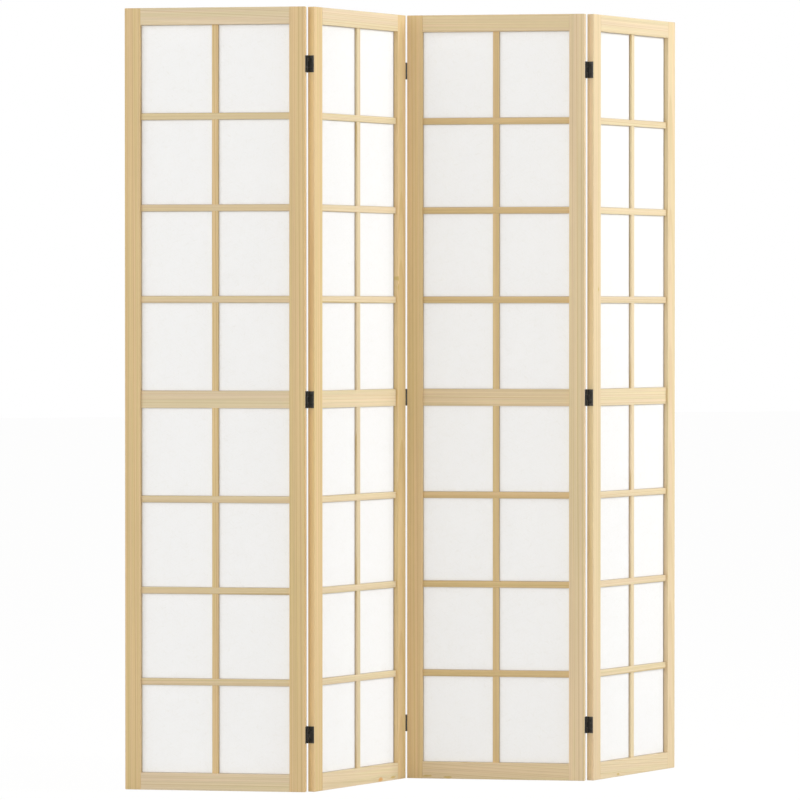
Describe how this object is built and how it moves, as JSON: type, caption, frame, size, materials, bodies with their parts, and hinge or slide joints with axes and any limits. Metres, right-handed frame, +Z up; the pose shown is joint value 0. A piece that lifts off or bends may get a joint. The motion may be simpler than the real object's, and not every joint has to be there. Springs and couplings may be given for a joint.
{
  "type": "folding screen",
  "caption": "Free-standing zig-zag room divider: pine frames with a rectangular lattice backed by white paper, joined edge to edge by black butt hinges.",
  "frame": {"origin": "on the floor, below the middle of the screen's bounding box as it stands in its zig-zag", "axes": "+Z up; +X along the line of the screen, to the viewer's right; the viewer stands towards -Y"},
  "size_m": [1.351, 0.2442, 1.7],
  "materials": {
    "pine_frame": "pale pine, thin matt clear finish",
    "pine_lattice": "pale pine, thin matt clear finish",
    "shoji_paper": "matt white fibre paper",
    "hinge_metal": "black, satin",
    "hinge_screws": "black, satin"
  },
  "bodies": {
    "panel_1": {"hinge_1_bottom_left_leaf": "hinge_metal", "hinge_1_left_screws": "hinge_screws", "hinge_1_middle_left_leaf": "hinge_metal", "hinge_1_pins": "hinge_metal", "hinge_1_top_left_leaf": "hinge_metal", "panel_1_bottom_rail": "pine_frame", "panel_1_lattice_strips": "pine_lattice", "panel_1_lattice_uprights": "pine_lattice", "panel_1_left_stile": "pine_frame", "panel_1_middle_rail": "pine_lattice", "panel_1_paper": "shoji_paper", "panel_1_right_stile": "pine_frame", "panel_1_top_rail": "pine_frame"},
    "panel_2": {"hinge_1_bottom_right_leaf": "hinge_metal", "hinge_1_middle_right_leaf": "hinge_metal", "hinge_1_right_screws": "hinge_screws", "hinge_1_top_right_leaf": "hinge_metal", "hinge_2_bottom_left_leaf": "hinge_metal", "hinge_2_left_screws": "hinge_screws", "hinge_2_middle_left_leaf": "hinge_metal", "hinge_2_pins": "hinge_metal", "hinge_2_top_left_leaf": "hinge_metal", "panel_2_bottom_rail": "pine_frame", "panel_2_lattice_strips": "pine_lattice", "panel_2_lattice_uprights": "pine_lattice", "panel_2_left_stile": "pine_frame", "panel_2_middle_rail": "pine_lattice", "panel_2_paper": "shoji_paper", "panel_2_right_stile": "pine_frame", "panel_2_top_rail": "pine_frame"},
    "panel_3": {"hinge_2_bottom_right_leaf": "hinge_metal", "hinge_2_middle_right_leaf": "hinge_metal", "hinge_2_right_screws": "hinge_screws", "hinge_2_top_right_leaf": "hinge_metal", "hinge_3_bottom_left_leaf": "hinge_metal", "hinge_3_left_screws": "hinge_screws", "hinge_3_middle_left_leaf": "hinge_metal", "hinge_3_pins": "hinge_metal", "hinge_3_top_left_leaf": "hinge_metal", "panel_3_bottom_rail": "pine_frame", "panel_3_lattice_strips": "pine_lattice", "panel_3_lattice_uprights": "pine_lattice", "panel_3_left_stile": "pine_frame", "panel_3_middle_rail": "pine_lattice", "panel_3_paper": "shoji_paper", "panel_3_right_stile": "pine_frame", "panel_3_top_rail": "pine_frame"},
    "panel_4": {"hinge_3_bottom_right_leaf": "hinge_metal", "hinge_3_middle_right_leaf": "hinge_metal", "hinge_3_right_screws": "hinge_screws", "hinge_3_top_right_leaf": "hinge_metal", "panel_4_bottom_rail": "pine_frame", "panel_4_lattice_strips": "pine_lattice", "panel_4_lattice_uprights": "pine_lattice", "panel_4_left_stile": "pine_frame", "panel_4_middle_rail": "pine_lattice", "panel_4_paper": "shoji_paper", "panel_4_right_stile": "pine_frame", "panel_4_top_rail": "pine_frame"}
  },
  "joints": [
    {"name": "fold_1", "type": "hinge", "parent": "panel_2", "child": "panel_1", "pos_m": [-0.33876, -0.11019, 0.85], "axis": [0, 0, -1], "range_deg": [-70.8, 109.2]},
    {"name": "fold_2", "type": "hinge", "parent": "panel_2", "child": "panel_3", "pos_m": [0, 0.11019, 0.85], "axis": [0, 0, -1], "range_deg": [-70.8, 109.2]},
    {"name": "fold_3", "type": "hinge", "parent": "panel_3", "child": "panel_4", "pos_m": [0.33876, -0.11019, 0.85], "axis": [0, 0, 1], "range_deg": [-70.8, 109.2]}
  ]
}
